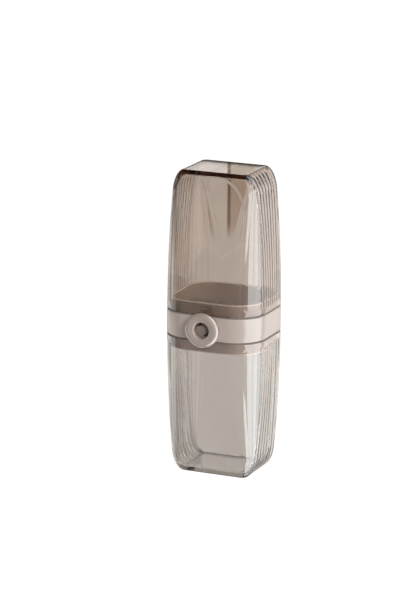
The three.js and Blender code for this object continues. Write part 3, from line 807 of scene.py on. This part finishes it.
def make_world():
    """Surroundings by direction, as the case mirrors and shows them. The camera itself sees white.

    The room is bright behind, dimmer in front and dimmer still at the left, with a shaded part behind and
    a lower table. Black cards stand at the left, low behind and in front, each for one kind of ray. It is
    dark overhead and right behind too, but for a window low behind that lies on the flat top, and a glow
    over it. Two tall softboxes at the sides and a panel make the upright strips of light, in mirrored and
    refracted rays alone. Mirrored high up, the right one is weaker. A warm board with a dark gap beside it
    stands right behind.
    """
    world = bpy.data.worlds.new("studio")
    bpy.context.scene.world = world
    world.use_nodes = True
    tree = world.node_tree
    tree.nodes.clear()

    def zone(edges, *shares):
        """How far a ray is in a zone: the product of the shares and of a smooth rise over each edge.

        An edge is a value with the start and end of its rise.
        """
        shares = list(shares)
        for value, start, end in edges:
            rise = add(tree, "ShaderNodeMapRange", {
                "Value": value, "From Min": start, "From Max": end,
            }, interpolation_type="SMOOTHSTEP")
            shares.append(rise.outputs["Result"])
        product = shares[0]
        for share in shares[1:]:
            product = add(tree, "ShaderNodeMath", {0: product, 1: share}, operation="MULTIPLY").outputs[0]
        return product

    output = add(tree, "ShaderNodeOutputWorld")
    path = add(tree, "ShaderNodeLightPath").outputs
    direction = add(tree, "ShaderNodeTexCoord").outputs["Generated"]
    x, y, z = add(tree, "ShaderNodeSeparateXYZ", {0: direction}).outputs
    forward = add(tree, "ShaderNodeMath", {0: y, 1: -1.0}, operation="MULTIPLY").outputs[0]
    azimuth = add(tree, "ShaderNodeMath", {0: x, 1: forward}, operation="ARCTAN2").outputs[0]
    elevation = add(tree, "ShaderNodeMath", {0: z}, operation="ARCSINE").outputs[0]
    toward_bright = add(tree, "ShaderNodeVectorMath", {
        0: direction, 1: (0.17, 0.985, 0.0),
    }, operation="DOT_PRODUCT").outputs["Value"]
    level = add(tree, "ShaderNodeVectorMath", {0: direction, 1: (1.0, 1.0, 0.0)}, operation="MULTIPLY")
    heading = add(tree, "ShaderNodeVectorMath", {0: level.outputs[0]}, operation="NORMALIZE")
    right_behind = add(tree, "ShaderNodeVectorMath", {
        0: heading.outputs[0], 1: (-math.sin(CAMERA_AZIMUTH), math.cos(CAMERA_AZIMUTH), 0.0),
    }, operation="DOT_PRODUCT").outputs["Value"]

    # Kinds of ray. A refracted one counts as glossy too, and one reflected in a shell has a glossy depth
    refracted = path["Is Transmission Ray"]
    not_refracted = add(tree, "ShaderNodeMath", {0: 1.0, 1: refracted}, operation="SUBTRACT").outputs[0]
    mirrored = add(tree, "ShaderNodeMath", {
        0: path["Is Glossy Ray"], 1: not_refracted,
    }, operation="MULTIPLY").outputs[0]
    inside = add(tree, "ShaderNodeMath", {0: path["Glossy Depth"], 1: 1.0}, operation="MINIMUM").outputs[0]
    after_matt = add(tree, "ShaderNodeMath", {
        0: path["Diffuse Depth"], 1: 1.0,
    }, operation="MINIMUM").outputs[0]
    not_seen = add(tree, "ShaderNodeMath", {
        0: 1.0, 1: path["Is Camera Ray"],
    }, operation="SUBTRACT").outputs[0]

    # The room: each zone is laid over those before it
    shaded = zone([(azimuth, *turns(-161, -168)), (azimuth, *turns(-179, -172))])
    kept = add(tree, "ShaderNodeMix", {0: shaded, 2: 1.0, 3: SHADED_SHARE}).outputs[0]
    overhead = zone([(z, 0.35, 0.55), (x, 0.05, -0.15)])
    high_behind = zone([(z, 0.1, 0.16), (right_behind, 0.955, 0.985)])
    dark = add(tree, "ShaderNodeMath", {0: overhead, 1: high_behind}, operation="MAXIMUM").outputs[0]
    sloping = add(tree, "ShaderNodeMath", {
        0: azimuth, 1: WINDOW_SLOPE, 2: z,
    }, operation="MULTIPLY_ADD").outputs[0]
    window_edge = WINDOW_LOW + WINDOW_SLOPE * BOARD_EDGE
    room = ROOM_LEFT
    for over, share in (
        (ROOM_FRONT, zone([(x, -0.3, 0.3)])),
        (ROOM_BEHIND, zone([(toward_bright, 0.62, 0.8)])),
    ):
        room = add(tree, "ShaderNodeMix", {0: share, 2: room, 3: over}).outputs[0]
    room = add(tree, "ShaderNodeMath", {0: room, 1: kept}, operation="MULTIPLY").outputs[0]
    for over, share in (
        (TABLE_LOW, zone([(z, -0.66, -0.7)], refracted)),
        (LEFT_CARD, zone([(azimuth, *turns(-50, -62)), (azimuth, *turns(-140, -128)),
                          (elevation, *turns(-43, -39)), (elevation, *turns(32, 22))], refracted, inside)),
        (BACK_CARD, zone([(z, -0.49, -0.52), (z, -0.66, -0.62), (right_behind, 0.9, 0.95)], refracted)),
        (FRONT_CARD, zone([(z, 0.15, 0.25), (y, -0.3, -0.5), (x, 0.1, 0.0)], mirrored)),
        (DARK_LEVEL, dark),
        (WINDOW_LEVEL, zone([(sloping, window_edge, window_edge + 0.0004), (z, 0.236, 0.226),
                             (right_behind, 0.99, 0.995)])),
        (GLOW_LEVEL, zone([(z, 0.29, 0.297), (z, 0.335, 0.32), (right_behind, 0.9, 0.95)])),
    ):
        room = add(tree, "ShaderNodeMix", {0: share, 2: room, 3: over}).outputs[0]

    # Softboxes and panel. The right one widens toward the front, away from the camera's level
    through = add(tree, "ShaderNodeMath", {0: inside, 1: STRIP_THROUGH}, operation="MULTIPLY").outputs[0]
    through = add(tree, "ShaderNodeMix", {0: after_matt, 2: through, 3: STRIP_ON_MATT}).outputs[0]
    rays = add(tree, "ShaderNodeMath", {
        0: refracted, 1: through, 2: mirrored,
    }, operation="MULTIPLY_ADD").outputs[0]
    tall = zone([(elevation, *turns(-75, -65)), (elevation, *turns(80, 70))], rays)
    off_level = add(tree, "ShaderNodeMath", {0: elevation, 1: CAMERA_ELEVATION}, operation="ADD").outputs[0]
    bend = add(tree, "ShaderNodeMath", {0: off_level, 1: off_level}, operation="MULTIPLY").outputs[0]
    edge = add(tree, "ShaderNodeMath", {
        0: bend, 1: -STRIP_SLANT, 2: math.radians(54),
    }, operation="MULTIPLY_ADD").outputs[0]
    edge = add(tree, "ShaderNodeMath", {0: edge, 1: math.radians(-14)}, operation="MAXIMUM").outputs[0]
    past = add(tree, "ShaderNodeMath", {0: azimuth, 1: edge}, operation="SUBTRACT").outputs[0]
    high = zone([(elevation, *turns(8, 12))], mirrored)
    higher = zone([(elevation, *turns(16, 20))])
    share = add(tree, "ShaderNodeMix", {0: higher, 2: STRIP_BREAK, 3: 1.0}).outputs[0]
    farther = zone([(azimuth, *turns(50, 56))])
    share = add(tree, "ShaderNodeMix", {0: farther, 2: STRIP_HIGH, 3: share}).outputs[0]
    share = add(tree, "ShaderNodeMix", {0: high, 2: 1.0, 3: share}).outputs[0]
    strip = zone([(past, 0.0, 0.02), (azimuth, *turns(132, 118))], RIGHT_STRIP, tall, share)
    for part in (
        zone([(azimuth, *turns(-69, -70)), (azimuth, *turns(-132, -122)), (elevation, *turns(-4, -11))],
             LEFT_STRIP, tall),
        zone([(azimuth, *turns(147, 150)), (azimuth, *turns(163, 160)), (elevation, *turns(-32, -18))],
             SIDE_PANEL, tall),
    ):
        room = add(tree, "ShaderNodeMath", {0: room, 1: part}, operation="ADD").outputs[0]
    room = add(tree, "ShaderNodeMix", {0: path["Is Camera Ray"], 2: room, 3: 1.0}).outputs[0]

    # Board and gap, as high as the lid's pane shows, and the colours of the light
    height = add(tree, "ShaderNodeMath", {0: z}, operation="ABSOLUTE").outputs[0]
    beside = add(tree, "ShaderNodeMath", {0: azimuth, 1: BOARD_EDGE}, operation="SUBTRACT").outputs[0]
    beside = add(tree, "ShaderNodeMath", {0: beside}, operation="ABSOLUTE").outputs[0]
    board = zone([(azimuth, BOARD_EDGE, BOARD_EDGE - 0.0004), (azimuth, BOARD_END - 0.002, BOARD_END),
                  (height, 0.232, 0.2245)], not_seen)
    gap = zone([(beside, 0.0007, 0.0004), (height, 0.232, 0.2245)], not_seen)
    lights = []
    for colours, strength, layers in (
        (ROOM_COLOURS, room, [(board, BOARD_COLOUR), (gap, GAP_COLOUR)]),
        (STRIP_COLOURS, strip, []),
    ):
        colour = colours[0]
        for share, over in [(mirrored, colours[1])] + layers:
            colour = add(tree, "ShaderNodeMix", {
                "Factor": share, "A": colour, "B": over,
            }, data_type="RGBA").outputs["Result"]
        lights.append(add(tree, "ShaderNodeBackground", {"Color": colour, "Strength": strength}).outputs[0])
    both = add(tree, "ShaderNodeAddShader", dict(enumerate(lights)))
    tree.links.new(both.outputs[0], output.inputs["Surface"])


def make_lamp(name, azimuth, elevation, distance, width, height, watts):
    """Softbox for the matt surfaces, facing the middle of the case.

    Angles are in degrees, azimuth from the front to the right. Highlights come from the surroundings.
    """
    data = bpy.data.lights.new(name, "AREA")
    data.shape = "RECTANGLE"
    data.size = width * MM
    data.size_y = height * MM
    data.energy = watts
    lamp = bpy.data.objects.new(name, data)
    bpy.context.scene.collection.objects.link(lamp)
    a, e = math.radians(azimuth), math.radians(elevation)
    away = Vector((math.sin(a) * math.cos(e), -math.cos(a) * math.cos(e), math.sin(e)))
    lamp.location = (Vector((0, 0, CASE_MIDDLE)) + away * distance) * MM
    lamp.rotation_mode = "QUATERNION"
    lamp.rotation_quaternion = away.to_track_quat("Z", "Y")
    lamp.visible_glossy = False
    lamp.visible_transmission = False


def make_camera():
    """Camera of the photograph: it looks beside the case, which stands off the picture's middle."""
    a, e = CAMERA_AZIMUTH, CAMERA_ELEVATION
    back = Vector((math.sin(a) * math.cos(e), -math.cos(a) * math.cos(e), math.sin(e)))
    level_right = Vector((math.cos(a), math.sin(a), 0))
    level_up = back.cross(level_right)
    right = level_right * math.cos(CAMERA_ROLL) + level_up * math.sin(CAMERA_ROLL)
    up = level_up * math.cos(CAMERA_ROLL) - level_right * math.sin(CAMERA_ROLL)
    eye = Vector((0, 0, CASE_MIDDLE)) + back * (FOCAL_PIXELS / PIXELS_PER_MM)
    beside = (MIDDLE_AT[0] - PICTURE[0] / 2) / PIXELS_PER_MM
    under = (MIDDLE_AT[1] - PICTURE[1] / 2) / PIXELS_PER_MM
    aim = Vector((0, 0, CASE_MIDDLE)) - right * beside + up * under
    backward = (eye - aim).normalized()
    right = up.cross(backward).normalized()
    up = backward.cross(right)
    data = bpy.data.cameras.new("camera")
    data.sensor_width = SENSOR
    data.lens = FOCAL_PIXELS * SENSOR / PICTURE[1]
    data.clip_start = 0.05
    data.clip_end = 50
    camera = bpy.data.objects.new("camera", data)
    bpy.context.scene.collection.objects.link(camera)
    turn = Matrix((right, up, backward)).transposed().to_4x4()
    camera.matrix_world = Matrix.Translation(eye * MM) @ turn
    bpy.context.scene.camera = camera


def make_studio():
    """Camera, floor, surroundings and two lamps for the matt surfaces."""
    make_camera()
    make_floor()
    make_world()
    make_lamp("side fill", azimuth=90, elevation=15, distance=1500, width=1200, height=1200, watts=1.5)
    make_lamp("key", azimuth=47, elevation=28, distance=1500, width=400, height=400, watts=8)
    scene = bpy.context.scene
    scene.view_settings.view_transform = "Standard"


make_cups()
make_band()
make_collar()
make_seals()
make_button()
make_spring()
make_cover()
dress_frame_nodes()
make_studio()
